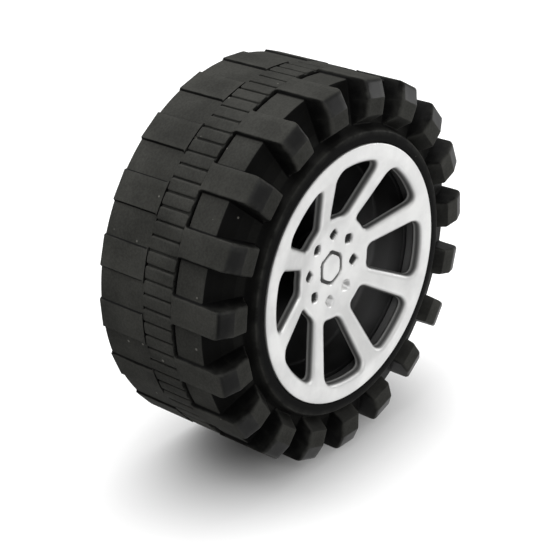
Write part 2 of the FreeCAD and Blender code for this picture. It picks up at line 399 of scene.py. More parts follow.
class Effects:
    """Shader groups that several finishes share."""

    FINE_HEIGHT = 0.35
    LARGEST_SPECK = 0.16
    FILM_SCALE = 90.0

    def __init__(self) -> None:
        """Build each group once."""
        self.grain = self.make_grain()
        self.dust = self.make_dust()
        self.rubbed = self.make_rubbed()

    def make_grain(self) -> Tree:
        """Fine moulded grain over broad unevenness.

        Returns:
            A group with a Height for bump, a Tone that varies slowly over the surface and a fine Mottle.
        """
        group, nodes, given, result = new_group("moulded_grain", {"Fine": 4000.0, "Broad": 150.0},
                                                ["Height", "Tone", "Mottle"])
        place = nodes.place()
        fine = nodes.noise(place, given["Fine"], detail=3.0, roughness=0.6)
        broad = nodes.noise(place, given["Broad"], detail=4.0, roughness=0.55)
        height = nodes.math("ADD", nodes.math("MULTIPLY", fine, self.FINE_HEIGHT), broad)
        nodes.fill(result, Height=height, Tone=nodes.ramp(broad, low=0.3, high=0.7),
                   Mottle=nodes.ramp(fine, low=0.36, high=0.64))
        return group

    def make_dust(self) -> Tree:
        """Scattered pale specks: round spots in the cells of a Voronoi pattern, kept in some cells by chance.

        Returns:
            A group with a Specks mask and a soft Film mask.
        """
        group, nodes, given, result = new_group("settled_dust", {"Scale": 600.0, "Amount": 0.5},
                                                ["Specks", "Film"])
        place = nodes.place()
        cells = nodes.add("TexVoronoi", Vector=place, Scale=given["Scale"])
        chance = nodes.add("SeparateColor", Color=cells["Color"])
        size = nodes.math("MULTIPLY", chance["Green"], self.LARGEST_SPECK)
        spot = nodes.ramp(nodes.math("SUBTRACT", cells["Distance"], size), low=0.05, high=-0.03)
        kept = nodes.math("LESS_THAN", chance["Red"], given["Amount"])
        film = nodes.noise(place, self.FILM_SCALE, detail=5.0, roughness=0.65)
        nodes.fill(result, Specks=nodes.math("MULTIPLY", spot, kept),
                   Film=nodes.ramp(film, low=0.42, high=0.75))
        return group

    @staticmethod
    def make_rubbed() -> Tree:
        """Rubbed edges: the mesh's wear mask, broken up by a noise.

        Returns:
            A group with an Edge mask.
        """
        group, nodes, given, result = new_group("rubbed_edge", {"Breakup": 700.0, "Strength": 1.0}, ["Edge"])
        uneven = nodes.noise(nodes.place(), given["Breakup"], detail=4.0, roughness=0.6)
        broken = nodes.math("MULTIPLY", nodes.mask(WEAR), nodes.ramp(uneven, low=0.25, high=0.75))
        nodes.fill(result, Edge=nodes.math("MULTIPLY", broken, given["Strength"], clamp=True))
        return group


class Mask(Enum):
    """What a layer of colour is laid by."""

    # Tone paints light on plastic and shade on plating.
    TONE = "tone of the mesh"
    # Painted shade on rubber: darker where the tone is low.
    DARK = "what the tone leaves"
    THIN = "wear of the mesh"
    EDGE = "wear of the mesh, broken up"
    DRIFT = "slow change of the grain"
    MOTTLE = "fine change of the grain"
    FILM = "film of dust where there is tone"
    SPECKS = "specks of dust"


@dataclass(frozen=True)
class Finish:
    """Layers of colour over a first colour. A layer is its mask, its share and its colour.

    The grain is (Fine, Broad), the dust (Scale, Amount) and the worn edge (Breakup, Strength) of the shared
    groups. The roughness goes from its first value to its second by a mask.
    """

    slot: Slot
    colour: Colour
    layers: tuple[tuple[Mask, float, Colour], ...]
    grain: Pair
    dust: Pair
    roughness: Pair
    bump: float
    specular: float
    worn: Pair = (700.0, 1.0)
    rough_by: Mask = Mask.DRIFT
    coat_roughness: float | None = None
    plated: bool = False

    def build(self, effects: Effects) -> Material:
        """Lay the layers by their masks and shade them with the grain's bump.

        A coat shines by the gloss mask. Plating is metal where neither the tone, which paints shade on it,
        nor the wear takes it away.

        Args:
            effects: The shared groups.

        Returns:
            The material.
        """
        material = bpy.data.materials.new(self.slot.value)
        nodes = Nodes.emptied(material)
        grain = nodes.effect(effects.grain, Fine=self.grain[0], Broad=self.grain[1])
        dust = nodes.effect(effects.dust, Scale=self.dust[0], Amount=self.dust[1])
        tone = nodes.mask(TONE)
        breakup, strength = self.worn
        masks: dict[Mask, Callable[[], Socket]] = {
            Mask.TONE: lambda: tone,
            Mask.DARK: lambda: nodes.math("SUBTRACT", 1.0, tone),
            Mask.THIN: lambda: nodes.mask(WEAR),
            Mask.EDGE: lambda: nodes.effect(effects.rubbed, Breakup=breakup, Strength=strength)["Edge"],
            Mask.DRIFT: lambda: grain["Tone"],
            Mask.MOTTLE: lambda: grain["Mottle"],
            Mask.FILM: lambda: nodes.math("MULTIPLY", dust["Film"], tone),
            Mask.SPECKS: lambda: dust["Specks"],
        }
        colour: Any = self.colour
        for mask, share, over in self.layers:
            colour = nodes.mix(nodes.math("MULTIPLY", masks[mask](), share), colour, over)
        low, high = self.roughness
        rough = nodes.add("MapRange", Value=masks[self.rough_by](), To_Min=low, To_Max=high)
        bump = nodes.add("Bump", Height=grain["Height"], Strength=self.bump, Distance=GRAIN_DEPTH)
        more: dict[str, Any] = {}
        if self.coat_roughness is not None:
            more = {"Coat_Weight": nodes.mask(GLOSS), "Coat_Roughness": self.coat_roughness}
        if self.plated:
            not_metal = nodes.math("MAXIMUM", tone, nodes.mask(WEAR))
            more = {"Metallic": nodes.math("SUBTRACT", 1.0, not_metal, clamp=True)}
        shader = nodes.add("BsdfPrincipled", Base_Color=colour, Roughness=rough[0], Normal=bump[0],
                           Specular_IOR_Level=self.specular, **more)
        nodes.add("OutputMaterial", Surface=shader[0])
        return material


RUBBER = Finish(
    Slot.RUBBER, colour=(0.0435, 0.0435, 0.0398),
    layers=((Mask.DRIFT, 1.0, (0.062, 0.062, 0.0566)), (Mask.MOTTLE, 0.22, (0.006, 0.006, 0.006)),
            # Painted shade: low tone takes the rubber to near black on the lug bevels, the bead, the notches,
            # the walls between lugs and the ladder's ends; where the tone is high the rubber keeps its pale
            # worn grey.
            (Mask.DARK, 1.0, (0.006, 0.006, 0.006)), (Mask.EDGE, 1.0, (0.085, 0.085, 0.0775)),
            (Mask.FILM, 0.1, (0.17, 0.166, 0.15)), (Mask.SPECKS, 1.0, (0.17, 0.166, 0.15))),
    grain=(3400.0, 160.0), dust=(900.0, 0.085), worn=(500.0, 0.6), rough_by=Mask.TONE, roughness=(0.40, 0.66),
    bump=0.3, specular=0.02, coat_roughness=0.4)
PLASTIC = Finish(
    Slot.PLASTIC, colour=(0.006, 0.006, 0.0062),
    # The tone layer is painted light: a pale patch on the barrel's inside, where light through the windows
    # would fall.
    layers=((Mask.DRIFT, 1.0, (0.011, 0.011, 0.0115)), (Mask.TONE, 1.0, (0.19, 0.19, 0.19)),
            (Mask.EDGE, 1.0, (0.05, 0.05, 0.05)), (Mask.SPECKS, 1.0, (0.05, 0.05, 0.05))),
    grain=(2200.0, 220.0), dust=(420.0, 0.03), worn=(600.0, 0.5), roughness=(0.34, 0.5), bump=0.12,
    specular=0.12)
PLATING = Finish(
    Slot.PLATING, colour=(0.86, 0.86, 0.85),
    layers=((Mask.DRIFT, 1.0, (0.76, 0.76, 0.755)), (Mask.SPECKS, 0.5, (0.45, 0.45, 0.44)),
            # The tone layer paints shade: near black and not metal in the hub's pits, the hexagon's groove,
            # the dark line on the window lips, behind the windows and on the rim's side wall.
            (Mask.THIN, 1.0, (0.42, 0.42, 0.41)), (Mask.TONE, 1.0, (0.045, 0.045, 0.045))),
    grain=(1500.0, 260.0), dust=(380.0, 0.03), roughness=(0.40, 0.48), bump=0.05, specular=0.2, plated=True)


def dress(piece: Piece, material: Material, node: Node, slot: Slot) -> None:
    """Give a piece its finish and its place in the model.

    Args:
        piece: The new piece.
        material: Its finish.
        node: The CAD node that it stands for.
        slot: The record's slot of the finish.
    """
    piece.data.materials.append(material)
    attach(piece, "root")
    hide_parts(node.value)
    LOG.info("%s: %d faces, %s", piece.name, len(piece.data.polygons), slot.value)


# Tyre


@dataclass
class TreadHalf:
    """Half of the tyre: a ring of pads on lower floors, closed round its bead and air space.

    Each corner of the two sections is (radius, y, reach), and both sections have the same corners in order.
    A value in flat and in rubbed belongs to a corner, and one in the tones, the gloss and the edge's round
    belongs to the run that follows the corner. A step lower than the unworn share of its edge's round isn't
    rubbed. High tone is the pale worn tops; low tone is painted shade, and the tone fades out down each pad's
    edge so that the walls between pads come out dark.
    """

    name: str
    side: Side
    pad: Corners
    floor: Corners
    flat: list[float]
    rubbed: list[float]
    pad_tone: list[float]
    floor_tone: list[float]
    gloss: list[float]
    edge_round: list[float]
    half_width: float
    root_round: float
    first_pad: float
    seed: int
    count: int = 19
    gap_columns: int = 5
    flare: float = 0.45
    draft: float = 0.12
    outer: float = 23.99
    most_round: float = 0.4
    touching: float = 0.01
    unworn: float = 0.2
    tone_fade: float = 1.6
    top_shares: Floats = (0, 0.5, 1)
    top_wear: Floats = (0, 0, 0.5)
    edge_angles: Floats = (22.5, 45, 67.5, 90)
    edge_wear: Floats = (0.9, 1, 0.9, 0.5)
    root_angles: Floats = (0, 30, 60, 90)
    unevenness: float = 0.03
    steps: Rounding = Rounding(3, 1)

    def half_columns(self) -> dict[str, Array]:
        """Columns from a pad's middle to the foot of its flank.

        The top is divided evenly, the edge and the root are quarter circles, and the flank leans by the
        draft. Each column has a share of the top's width, a step back from the flank in edge rounds, a lean
        out from it, and how much it goes down: by the edge's round, by the flank and by the root's round.

        Returns:
            The columns' values by name.
        """
        edge, root = np.radians(self.edge_angles), np.radians(self.root_angles)
        lean = self.draft + self.root_round * (1 - np.cos(root))
        parts: dict[str, tuple[Any, Any, float, Any]] = {
            "top": (self.top_shares, 0, 0, 0),
            "on_top": (1, 0, 0, 0),
            "step": (0, np.sin(edge) - 1, 0, 0),
            "lean": (0, 0, self.draft / 2, lean),
            "edge": (0, 1 - np.cos(edge), 1, 1),
            "flank": (0, 0, 0.5, 1),
            "root": (0, 0, 0, np.sin(root)),
            "wear": (self.top_wear, self.edge_wear, 0, 0),
        }
        sizes = (len(self.top_shares), len(edge), 1, len(root))
        return {name: np.concatenate([np.broadcast_to(value, size) for value, size in zip(values, sizes)])
                for name, values in parts.items()}

    def pitch_grid(self) -> tuple[Array, Array, dict[str, Array]]:
        """One pad with the floor on both sides of it, standing straight up.

        A column of the pad starts at the pad's section, carried straight across, and goes down towards the
        floor's section, carried round the axle. Floor columns divide the angle from the flank's foot to the
        middle of the gap.

        Returns:
            The points, how far each point belongs to the pad's top, and the masks.
        """
        steps, column = self.steps, self.half_columns()
        pad, floor = steps.path(self.pad), steps.path(self.floor)
        flat = steps.per_row(self.flat)[:, None]
        edge_round = steps.per_face(self.edge_round)[:, None]
        clear = np.clip(self.side.value * pad[:, 1:] - LADDER_EDGE, 0, self.flare)
        width = flared(self.half_width, self.flare, clear)
        off_top = width + column["step"] * edge_round + column["lean"]
        x = np.where(column["on_top"] > 0, column["top"] * (width - edge_round), off_top)
        pad_z = flat * pad[:, :1] + (1 - flat) * np.sqrt(pad[:, :1] ** 2 - x ** 2)
        pad_z = np.minimum(pad_z, np.sqrt(self.outer ** 2 - x ** 2))
        floor_z = np.sqrt(floor[:, :1] ** 2 - x ** 2)
        height = np.hypot(floor[:, :1] - pad[:, :1], floor[:, 1:] - pad[:, 1:]) + TINY
        edge = np.minimum(edge_round / height, self.most_round)
        root = np.minimum(self.root_round / height, self.most_round)
        down = column["edge"] * edge + column["flank"] * (1 - edge - root) + column["root"] * root
        y = pad[:, 1:] + (floor[:, 1:] - pad[:, 1:]) * down
        slope = np.stack([x, y, pad_z + (floor_z - pad_z) * down], axis=-1)
        start = np.arcsin(x[:, -1:] / floor[:, :1])
        angle = start + (math.pi / self.count - start) * np.linspace(0, 1, self.gap_columns + 1)[None, 1:]
        half = np.concatenate([slope, on_circle(floor[:, :1], floor[:, 1:], angle)], axis=1)
        raised = np.clip(height / edge_round - self.unworn, 0, 1)
        joined = (height < self.touching).astype(float)
        upper = np.maximum((1 - down) * (column["flank"] < 1), joined)
        # Painted shade: the tone fades out down each pad's edge, so the walls between pads come out dark.
        share = np.maximum(1 - np.clip(column["edge"] * self.tone_fade, 0, 1), joined)
        sunk = column["root"] ** 3 * (1 - joined)
        rubbed = steps.per_corner(self.rubbed)[:, None]
        tones = (self.pad_tone, self.floor_tone, self.gloss)
        pad_tone, floor_tone, gloss = (steps.per_face(tone, crisp=True)[:, None] for tone in tones)
        masks = {
            "top": ((1 - down) * raised, 0 * raised),
            WEAR: (np.maximum(column["wear"] * raised, rubbed * upper), rubbed * joined),
            TONE: (pad_tone * share + floor_tone * sunk, floor_tone),
            GLOSS: (gloss * share, gloss * joined),
        }
        whole = {name: self.both_ways(np.concatenate([slopes, gaps + 0 * angle], axis=1))
                 for name, (slopes, gaps) in masks.items()}
        return self.both_ways(half, np.array([-1, 1, 1])), whole.pop("top"), whole

    @staticmethod
    def both_ways(values: Array, flip: Array | int = 1) -> Array:
        """Carry the values of half a pitch on to its other half."""
        return np.concatenate([values[:, :0:-1] * flip, values[:, :-1]], axis=1)

    def build(self) -> Piece:
        """Repeat the pad round the axle, each copy a little lower by its own small amount.

        Returns:
            The half tyre.
        """
        grid, top, masks = self.pitch_grid()
        chance = np.random.default_rng(self.seed)
        drop = chance.uniform(0, self.unevenness, self.count)
        grids = np.repeat(grid[None], self.count, axis=0)
        grids[..., 2] -= drop[:, None, None] * top[None]
        angles = even_angles(self.count, self.first_pad)
        whole = np.concatenate([turn(one, [angle])[0] for one, angle in zip(grids, angles)], axis=1)
        all_round = {name: np.tile(mask, (1, self.count)) for name, mask in masks.items()}
        shell = Shell(self.name)
        shell.add(whole, wrap_rows=True, wrap_columns=True, **all_round)
        return shell.build()


@dataclass
class Ladder:
    """Ring of narrow ribs along the middle of the tread, with slits that widen at both ends.

    Half a slit has seven columns: a share of its half width, steps of the rib's edge beyond it, how far down
    they lie, and how rubbed they are. The rows lie at the insets from both ends of the ribs, and then at the
    wall's levels down to the bottom. The near, middle and far shares are how much of the tone and the wear
    the rows show. Low tone is painted shade: the slit floors are darker by the slit's tone, and the end walls
    of the ribs, where the shares are 0, come out dark.
    """

    name: str = "tyre_ladder"
    ribs: int = 86
    half_width: float = LADDER_EDGE
    top: float = 23.9
    slit_floor: float = 23.62
    bottom: float = 22.7
    slit_half: float = 0.14
    near_flare: float = 0.38
    far_flare: float = 0.15
    edge: float = 0.14
    insets: Floats = (0, 0.03, 0.07, 0.12, 0.19, 0.27, 0.38, 0.7, 1.3)
    end_round: Floats = (0.05, 0.015)
    wall_levels: Floats = (0.5, 0.0)
    slit_shares: Floats = (0, 0.75, 0.95, 1, 1, 1, 1)
    edge_steps: Floats = (0, 0, 0, 0, 0.4, 1, 2.2)
    falls: Floats = (1, 1, 0.9, 0.45, 0.22, 0.07, 0)
    rubbed: Floats = (0, 0, 0, 0.5, 1.0, 0.5, 0)
    # Painted shade: the slit floors are darker by this share.
    slit_tone: float = 0.45
    near_shares: Floats = (0, 0, 0.3, 0.7, 0.9)
    middle_share: float = 0.95
    far_shares: Floats = (0.9, 0, 0)
    widths: Pair = (0.75, 1.15)
    depths: Pair = (0.75, 1.0)
    lows: Pair = (0.0, 0.05)
    seed: int = 4

    @staticmethod
    def over_slit(values: Array, rib: Array | float, sign: int = 1) -> Array:
        """Carry the values of half a slit on to its other half and add the rib's middle."""
        middle = np.broadcast_to(rib, values.shape[:-1])[..., None]
        return np.concatenate([sign * values[..., ::-1][..., :-1], values, middle], axis=-1)

    def build(self) -> Piece:
        """Work the ring out as height and place over (angle, y).

        Across a rib the columns run from the middle of one slit to the middle of the next: slit floor, slit
        wall, rounded edge and rib top. The slit's half width grows by a quarter circle of the flare's radius
        towards both ends of the ribs. Rows cross the top, go down both end walls and join under the ring.

        Returns:
            The ladder.
        """
        chance = np.random.default_rng(self.seed)
        inset, falls = np.array(self.insets), np.array(self.falls)
        y = np.concatenate([-self.half_width + inset, [0], self.half_width - inset[::-1]])
        flare = np.where(y < 0, self.near_flare, self.far_flare)
        slit = flared(self.slit_half, flare, np.minimum(self.half_width - np.abs(y), flare))
        wide, deep, low = (chance.uniform(*span, self.ribs) for span in (self.widths, self.depths, self.lows))
        half = slit[:, None, None] * wide[None, :, None] * np.array(self.slit_shares)
        half = half + np.array(self.edge_steps) * self.edge
        fall = (self.top - self.slit_floor) * deep[:, None] * falls + low[:, None] * (1 - falls)
        x = self.over_slit(half, math.pi * self.top / self.ribs, sign=-1)
        angle = np.radians(even_angles(self.ribs))[None, :, None] + x / self.top
        angle = angle.reshape(len(y), -1)
        round_off = np.zeros(len(y))
        round_off[:2], round_off[-2:] = self.end_round, self.end_round[::-1]
        radius = (self.top - self.over_slit(fall, low)).reshape(1, -1) - round_off[:, None]
        levels = np.array(self.wall_levels)[:, None]
        near, far = (self.bottom + (radius[edge] - self.bottom) * levels for edge in (0, -1))
        radius = np.concatenate([near[::-1], radius, far])
        angle = np.concatenate([angle[[0, 0]], angle, angle[[-1, -1]]])
        across = np.concatenate([y[[0, 0]], y, y[[-1, -1]]])
        wear = self.over_slit(np.array(self.rubbed), 0)
        tone = 1 - self.slit_tone * self.over_slit(falls, 0)
        middle = [self.middle_share] * (len(across) - len(self.near_shares) - len(self.far_shares))
        shown = np.array([*self.near_shares, *middle, *self.far_shares])[:, None]
        shell = Shell(self.name)
        shell.add(on_circle(radius, across[:, None], angle), wrap_rows=True, wrap_columns=True,
                  wear=np.tile(wear, self.ribs) * shown, tone=np.tile(tone, self.ribs) * shown)
        return shell.build()


@dataclass
class Tyre:
    """Rubber tyre: the lugged half at the face, the blocked half at the back, and the ladder between them."""

    ladder: Ladder = field(default_factory=Ladder)

    @staticmethod
    def face_half() -> TreadHalf:
        """Half with tall side lugs, deep notches and a groove along the ladder.

        Returns:
            The half at the face.
        """
        inside = [(18.4, -8.0, 0.3), (17.8, -9.6, 0.2), (16.35, -9.6, 0.2), (16.35, -6.15, 0.02),
                  (14.75, -6.15, 0.02), (14.75, -4.2, 0.02), (16.9, -4.2, 0.1), (18.4, -5.2, 0.1),
                  (20.6, -5.2, 0.3), (20.6, 0.0, 0.02)]
        pad = [(23.0, 0.0, 0.02), (23.0, -2.2, 0.02), (23.94, -2.22, 0.02), (23.94, -2.45, 0.05),
               (23.94, -2.65, 0.05), (23.94, -6.3, 0.1), (23.94, -9.1, 0.55), (21.85, -9.95, 0.15),
               (19.75, -9.95, 0.15)]
        floor = [(23.0, 0.0, 0.02), (22.95, -2.2, 0.02), (22.95, -2.25, 0.02), (22.98, -2.42, 0.05),
                 (23.5, -2.46, 0.06), (23.5, -6.5, 0.15), (22.6, -6.765, 0.1), (21.2, -7.176, 0.1),
                 (19.6, -7.647, 0.1)]
        return TreadHalf(
            "tyre_lugs", Side.FACE, pad + inside, floor + inside,
            flat=[0.0, 0.0] + [1.0] * 7 + [0.0] * 10,
            # Painted highlight: the bead's outer corner is rubbed pale to show as a bright line.
            rubbed=[0.0] * 6 + [0.3, 0.6, 0.5, 0.0, 1.0] + [0.0] * 8,
            # High tone keeps the pad tops and gap floors pale; the lug bevel, the bead, the notches and the
            # groove by the ladder get low tone, which is painted shade.
            pad_tone=[0.0, 0.0, 1.0, 1.0, 1.0, 1.0, 0.0, 1.0, 0.4, 0.1] + [0.0] * 9,
            floor_tone=[0.0] * 4 + [0.9, 0.05, 0.07, 0.12, 0.25, 0.1] + [0.0] * 9,
            gloss=[0.0] * 6 + [0.4] + [0.0] * 12,
            edge_round=[0.16] * 6 + [0.4, 0.4, 0.3] + [0.16] * 10,
            half_width=1.7, root_round=0.15, first_pad=180.0, seed=2)

    @staticmethod
    def back_half() -> TreadHalf:
        """Half with broad low blocks, set half a step round from the lugs.

        Returns:
            The half at the back.
        """
        inside = [(22.5, 9.3, 0.1), (19.6, 9.3, 0.3), (18.4, 8.3, 0.3), (17.8, 9.2, 0.2), (16.35, 9.2, 0.2),
                  (16.35, 6.15, 0.02), (14.75, 6.15, 0.02), (14.75, 4.2, 0.02), (16.9, 4.2, 0.1),
                  (18.4, 6.9, 0.1), (20.6, 6.9, 0.3), (20.6, 0.0, 0.02)]
        groove = [(23.0, 0.0, 0.02), (23.0, 2.2, 0.02)]
        pad, floor = (groove + [(top, 2.26, 0.02), (top, 2.7, 0.05), (top, 9.3, 0.17)] + inside
                      for top in (23.95, 23.72))
        # High tone keeps the blocks' tops pale; the groove by the ladder, the sidewall and the bead get low
        # tone, which is painted shade.
        tone = [0.0, 0.0, 1.0, 1.0, 0.8, 0.5] + [0.0] * 11
        return TreadHalf(
            "tyre_blocks", Side.BACK, pad, floor,
            flat=[0.0, 0.0, 1.0, 1.0, 1.0] + [0.0] * 12,
            rubbed=[0.0] * 4 + [0.6, 0.5] + [0.0] * 11,
            pad_tone=tone, floor_tone=tone, gloss=[0.0] * 17, edge_round=[0.06] * 17,
            half_width=1.85, root_round=0.05, first_pad=180.0 + 180.0 / TreadHalf.count, seed=3)

    def build(self, material: Material) -> None:
        """Build the three rings and dress them in rubber."""
        for piece in (self.face_half().build(), self.back_half().build(), self.ladder.build()):
            dress(piece, material, Node.TYRE, Slot.RUBBER)


# Core


@dataclass
class Core:
    """Black plastic core: flanged barrel, web, axle boss and rear ribs.

    Painted light lies on the barrel's inside in front of the web, paler in one sector round the axle, and it
    fades out towards the front over its fade.
    """

    columns: int = 192
    ribs: int = 6
    rib_half: float = 0.6
    rib_radii: Pair = (2.2, 14.1)
    rib_tops: Pair = (6.1, 4.6)
    rib_root: float = -1.8
    rib_outline: Corners = ((-1, 0, 0.02), (1, 0, 0.02), (1, 1, 0.4), (-1, 1, 0.4))
    rib_shares: Floats = (0, 0, 0.02, 0.3, 0.7, 0.98, 1, 1)
    rib_spread: Floats = (0, 1, 1, 1, 1, 1, 1, 0)
    lit_back: float = -1.8
    lit_front: float = -7.4
    lit_fade: float = 1.2
    rubbed_reach: float = 0.3
    steps: Rounding = Rounding(4, 1)
    section: Corners = (
        (0, -3.05, 0), (1.55, -3.05, 0.05), (1.55, -5.15, 0.05), (3.4, -5.15, 0.15), (3.4, -2.6, 0.5),
        (13.8, -2.6, 0.5), (13.8, -7.2, 0.1), (15.05, -7.2, 0.05), (15.05, -8.55, 0.1), (16.25, -8.55, 0.1),
        (16.25, -6.2, 0.05), (14.7, -6.2, 0.05), (14.7, 6.2, 0.05), (16.25, 6.2, 0.1), (16.25, 8.4, 0.3),
        (13.8, 8.4, 0.3), (13.8, -1.0, 0.5), (3.4, -1.0, 0.5), (3.4, 9.0, 0.3), (0.975, 9.0, 0.15),
        (0.975, -2.0, 0.05), (0, -2.0, 0))

    def barrel(self) -> Piece:
        """Carry the core's section round the axle, with its roundest corners rubbed.

        Returns:
            The barrel with its web and boss.
        """
        profile = self.steps.path(self.section, closed=False)
        rubbed = self.steps.per_corner([corner[2] == self.rubbed_reach for corner in self.section])
        angles = even_angles(self.columns)
        y = profile[:, 1:]
        # Painted light: the inside of the barrel in front of the web is painted paler in one sector, as if
        # lit through the windows.
        lit_inside = (y < self.lit_back) * np.clip((y - self.lit_front) / self.lit_fade, 0, 1)
        shell = Shell("core_barrel")
        shell.add(revolve(profile, angles), wrap_columns=True, wear=rubbed[:len(profile), None],
                  tone=lit_sector(angles)[None, :] * lit_inside)
        return shell.build()

    def rib_plates(self) -> Piece:
        """Carry a round-topped upright section along each rib, from the boss to the barrel.

        The section's height above its root follows a straight line from the boss to the barrel, and each end
        closes on its middle.

        Returns:
            The six ribs.
        """
        outline = self.steps.path(self.rib_outline)
        along, spread = np.array(self.rib_shares)[:, None], np.array(self.rib_spread)[:, None]
        z, top = (start + (end - start) * along for start, end in (self.rib_radii, self.rib_tops))
        x = outline[None, :, 0] * self.rib_half * spread
        rise = 0.5 + (outline[None, :, 1] - 0.5) * spread
        plate = np.stack([x, self.rib_root + (top - self.rib_root) * rise, z + 0 * x], axis=-1)
        shell = Shell("core_ribs")
        for copy in turn(plate, even_angles(self.ribs)):
            shell.add(copy, wrap_columns=True)
        return shell.build()

    def build(self, material: Material) -> None:
        """Build the core and dress it in plastic."""
        for piece in (self.barrel(), self.rib_plates()):
            dress(piece, material, Node.CORE, Slot.PLASTIC)


# Spoke cap


@dataclass
class SpokeCap:
    """Bright dished cap: eight windows between spokes, a hub with recesses, a rim and a skirt.

    A place on the face is (x, q): x across the window's middle line and q the distance from the axle, so
    that the sides of the spokes and both arcs of a window are straight lines there. The cell's masks have one
    value for each loop round a window, from the front to the back; the tone paints shade on the window's
    rounded lip as a dark line, and behind the window.
    """

    spokes: int = 8
    first: float = 4.3
    window_in: Corner = (1.41, 6.82, 0.8)
    window_out: Corner = (3.83, 13.95, 1.25)
    front: Corners = ((0, -6.35, 0), (4.9, -6.35, 1.6), (14.4, -9.75, 0.5), (16.3, -9.75, 0))
    back: Corners = ((0, -5.15, 0), (4.9, -5.15, 0.3), (14.2, -8.55, 0))
    cell_in: float = 5.2
    front_out: float = 15.0
    back_out: float = 14.2
    leg_in: float = 0.7
    leg_out: float = 1.6
    edge: float = 0.7
    back_edge: float = 0.1
    face_shares: Floats = (0, 0.15, 0.3, 0.45, 0.6, 0.75, 0.9)
    lip_angles: Floats = (0, 18, 36, 54, 72, 90)
    wall_shares: Floats = (0.35, 0.7)
    heel_angles: Floats = (0, 45, 90)
    back_shares: Floats = (0.5, 1.0)
    cell_wear: Floats = (0,) * 9 + (0.2, 0.5, 0.8, 1, 1, 1, 0.6) + (0,) * 4
    # Painted shade: a dark line on the lip's rounding and dark loops behind the window.
    cell_tone: Floats = (0,) * 9 + (0.15, 0.7, 0.93, 0.7, 0.05, 0.05, 0.8) + (1,) * 4
    hub_bands: tuple[tuple[float, float, int], ...] = (
        (5.2, 3.5, 27), (3.4, 2.2, 9), (2.15, 1.3, 22), (1.2, 0, 7))
    peg: Corners = ((4.9, -5.15, 0.2), (1.5, -5.15, 0.05), (1.5, -3.1, 0.3), (0, -3.1, 0))
    nut_circle: float = 4.35
    nut_reach: float = 0.86
    nut_slope: float = 0.5
    nut_power: float = 1.35
    nut_depth: float = 0.7
    # Painted shade in each pit; the pits at about 139 and 184 degrees take little of it and stay bright.
    nut_shades: Floats = (1.0, 1.0, 1.0, 0.08, 0.12, 1.0, 1.0, 1.0)
    nut_lip: float = 0.2
    hex_flat: float = 1.62
    hex_turns: Floats = (30, 90, 150)
    hex_groove: float = 0.5
    hex_wall: float = 0.08
    hex_depth: float = 0.4
    hex_power: float = 9.0
    hex_shade: float = 0.95
    skirt: Corners = ((16.3, -9.75, 0.15), (16.3, -8.55, 0.05), (15.0, -8.55, 0.05), (15.0, -7.3, 0.1))
    skirt_end: float = -7.3
    rim_edge: Pair = (16.25, -9.7)
    rim_reach: float = 0.1
    rim_thin: float = 0.3
    rim_fade: float = 0.15
    lit_share: float = 0.2
    steps: Rounding = Rounding(8, 14)
    section_steps: Rounding = Rounding(12, 1)
    peg_steps: Rounding = Rounding(3, 0)
    skirt_steps: Rounding = Rounding(6, 2)

    def level(self, section: Corners, q: Array | float) -> Array:
        """Height of the front or back section at a distance from the axle, read along its rounded line."""
        path = self.section_steps.path(section, closed=False)
        return np.interp(q, path[:, 0], path[:, 1])

    def cell_edge(self, outer: float) -> Array:
        """Edge of one spoke-to-spoke cell, with as many points as the window's outline.

        Args:
            outer: Distance of its outer arc from the axle, with which the outer corners' legs keep in step.

        Returns:
            Rows of (x, q).
        """
        lean = math.sin(math.pi / self.spokes)
        legs = self.leg_out * outer / self.front_out
        near, far = lean * self.cell_in, lean * outer
        corners = [(-near, self.cell_in, self.leg_in), (near, self.cell_in, self.leg_in),
                   (far, outer, legs), (-far, outer, legs)]
        return self.steps.path(corners, sharp=True)

    def side_angles(self, block: int) -> Array:
        """Angles of the cell's points along its hub side or its rim side, for all the cells.

        Args:
            block: Corner that the side starts at: 0 for the hub's side, 2 for the rim's.

        Returns:
            The angles in degrees.
        """
        size = self.steps.arc + 1 + self.steps.run
        first = block * size + self.steps.arc // 2
        side = self.cell_edge(self.front_out)[first:first + size + 1]
        angles = np.sort(np.degrees(np.arcsin(side[:, 0] / side[:, 1])))[:-1]
        return (even_angles(self.spokes, self.first)[:, None] + angles).ravel()

    def cell(self) -> Array:
        """Surface round one window, straight up.

        Loops run from the cell's edge on the front to the window's rounded edge, down the window's wall and
        back to the cell's edge behind. Between edges a loop is the even mix of the two outlines, and its
        height is the section's height at its distance from the axle.

        Returns:
            The points, loops by columns.
        """
        (x_in, q_in, r_in), (x_out, q_out, r_out) = self.window_in, self.window_out
        window = self.steps.path([(-x_in, q_in, r_in), (x_in, q_in, r_in), (x_out, q_out, r_out),
                                  (-x_out, q_out, r_out)])
        along = np.roll(window, -1, axis=0) - np.roll(window, 1, axis=0)
        outward = np.stack([along[:, 1], -along[:, 0]], axis=1) / np.linalg.norm(along, axis=1, keepdims=True)
        front_edge, back_edge = self.cell_edge(self.front_out), self.cell_edge(self.back_out)
        start, behind = window + outward * self.edge, window + outward * self.back_edge
        inwards, outwards = (np.array(way)[:, None, None] for way in (self.face_shares, self.back_shares))
        face = front_edge + (start - front_edge) * inwards
        back = behind + (back_edge - behind) * outwards
        over, under = (np.radians(angles)[:, None, None] for angles in (self.lip_angles, self.heel_angles))
        lip = window + outward * self.edge * (1 - np.sin(over))
        heel = window + outward * self.back_edge * (1 - np.cos(under))
        top = self.level(self.front, window[:, 1]) + self.edge
        bottom = self.level(self.back, window[:, 1]) - self.back_edge
        place = np.concatenate([face, lip, [window] * len(self.wall_shares), heel, back])
        y = np.concatenate([
            self.level(self.front, face[..., 1]),
            self.level(self.front, lip[..., 1]) + self.edge * (1 - np.cos(over[..., 0])),
            top + (bottom - top) * np.array(self.wall_shares)[:, None],
            bottom + self.back_edge * np.sin(under[..., 0]),
            self.level(self.back, back[..., 1])])
        x, q = place[..., 0], place[..., 1]
        return np.stack([x, y, np.sqrt(q ** 2 - x ** 2)], axis=-1)

